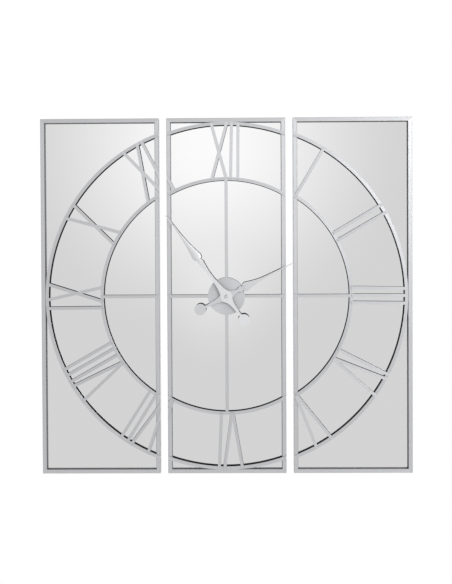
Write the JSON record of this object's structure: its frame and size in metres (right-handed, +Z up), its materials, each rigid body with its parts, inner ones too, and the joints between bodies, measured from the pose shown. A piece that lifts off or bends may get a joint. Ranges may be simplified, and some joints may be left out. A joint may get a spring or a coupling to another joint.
{
  "type": "mirror wall clock",
  "caption": "Split-panel wall clock: tall framed mirrors side by side, a dial of flat metal strips with Roman numerals across them, spade hands and a quartz movement.",
  "frame": {"origin": "on the axis of the hands, in the plane of the wall behind the clock", "axes": "+X to the right as seen by a reader, +Z up the wall, +Y into the wall; the clock faces -Y"},
  "size_m": [1.158, 0.0644, 1.11],
  "materials": {
    "frame_metal": "satin silver",
    "key_metal": "plain",
    "screw_steel": "zinc plated",
    "mirror_glass": "silvered glass",
    "backing_board": "raw fibreboard",
    "dial_metal": "satin silver",
    "hub_metal": "satin silver",
    "sleeve_metal": "plain",
    "case_plastic": "black moulded",
    "plate_plastic": "white moulded",
    "gear_plastic": "white moulded",
    "brass": "turned",
    "battery_jacket": "gloss jacket",
    "contact_steel": "bright",
    "copper_wire": "enamelled wire",
    "circuit": "green lacquer",
    "magnet": "dark",
    "hand_metal": "bright satin"
  },
  "bodies": {
    "clock": {"left_stiles": "frame_metal", "left_rails": "frame_metal", "centre_stiles": "frame_metal", "centre_rails": "frame_metal", "right_stiles": "frame_metal", "right_rails": "frame_metal", "corner_keys": "key_metal", "frame_screws": "screw_steel", "hanger_screws": "screw_steel", "hanger_plates": "screw_steel", "left_mirror": "mirror_glass", "centre_mirror": "mirror_glass", "right_mirror": "mirror_glass", "left_board": "backing_board", "centre_board": "backing_board", "right_board": "backing_board", "left_outer_ring": "dial_metal", "left_inner_ring": "dial_metal", "centre_outer_ring": "dial_metal", "centre_inner_ring": "dial_metal", "right_outer_ring": "dial_metal", "right_inner_ring": "dial_metal", "numeral_one": "dial_metal", "numeral_two": "dial_metal", "numeral_three": "dial_metal", "numeral_four": "dial_metal", "numeral_five": "dial_metal", "numeral_six": "dial_metal", "numeral_seven": "dial_metal", "numeral_eight": "dial_metal", "numeral_nine": "dial_metal", "numeral_ten": "dial_metal", "numeral_eleven": "dial_metal", "numeral_twelve": "dial_metal", "centre_cross_bars": "dial_metal", "side_cross_bars": "dial_metal", "hub_disc": "hub_metal", "hub_sleeve": "sleeve_metal", "movement_case": "case_plastic", "movement_cover": "case_plastic", "movement_plate": "plate_plastic", "threaded_bushing": "brass", "bushing_nut": "brass", "battery": "battery_jacket", "battery_contacts": "contact_steel", "stator": "contact_steel", "coil": "copper_wire", "circuit_board": "circuit"},
    "minute_works": {"minute_arbor": "brass", "centre_wheel": "brass", "minute_hand": "hand_metal", "cap_nut": "hand_metal"},
    "hour_works": {"hour_wheel": "gear_plastic", "hour_hand": "hand_metal"},
    "minute_wheel_body": {"minute_wheel": "gear_plastic"},
    "setting_knob_body": {"setting_knob": "case_plastic"},
    "third_wheel_body": {"third_wheel": "gear_plastic"},
    "fourth_wheel_body": {"fourth_wheel": "gear_plastic"},
    "intermediate_wheel_body": {"intermediate_wheel": "gear_plastic"},
    "rotor_body": {"rotor": "magnet"}
  },
  "joints": [
    {"name": "minute_spin", "type": "hinge", "parent": "clock", "child": "minute_works", "pos_m": [0, 0, 0], "axis": [0, 1, 0], "continuous": true},
    {"name": "hour_spin", "type": "hinge", "parent": "clock", "child": "hour_works", "pos_m": [0, 0, 0], "axis": [0, 1, 0], "continuous": true},
    {"name": "minute_wheel_spin", "type": "hinge", "parent": "clock", "child": "minute_wheel_body", "pos_m": [0.00688, 0, 0.00983], "axis": [0, 1, 0], "continuous": true},
    {"name": "setting_knob_spin", "type": "hinge", "parent": "clock", "child": "setting_knob_body", "pos_m": [0.01608, 0, 0.00212], "axis": [0, 1, 0], "continuous": true},
    {"name": "third_wheel_spin", "type": "hinge", "parent": "clock", "child": "third_wheel_body", "pos_m": [-0.00977, 0, 0.0082], "axis": [0, 1, 0], "continuous": true},
    {"name": "fourth_wheel_spin", "type": "hinge", "parent": "clock", "child": "fourth_wheel_body", "pos_m": [-0.00414, 0, 0.01794], "axis": [0, 1, 0], "continuous": true},
    {"name": "intermediate_wheel_spin", "type": "hinge", "parent": "clock", "child": "intermediate_wheel_body", "pos_m": [0.00472, 0, 0.01638], "axis": [0, 1, 0], "continuous": true},
    {"name": "rotor_spin", "type": "hinge", "parent": "clock", "child": "rotor_body", "pos_m": [0.01347, 0, 0.01638], "axis": [0, 1, 0], "continuous": true}
  ],
  "couplings": [
    {"joint": "hour_spin", "follows": "minute_spin", "ratio": 0.083333},
    {"joint": "minute_wheel_spin", "follows": "minute_spin", "ratio": -0.33333},
    {"joint": "setting_knob_spin", "follows": "minute_spin", "ratio": 1},
    {"joint": "third_wheel_spin", "follows": "minute_spin", "ratio": -7.5},
    {"joint": "fourth_wheel_spin", "follows": "minute_spin", "ratio": 60},
    {"joint": "intermediate_wheel_spin", "follows": "minute_spin", "ratio": -300},
    {"joint": "rotor_spin", "follows": "minute_spin", "ratio": 1800}
  ]
}
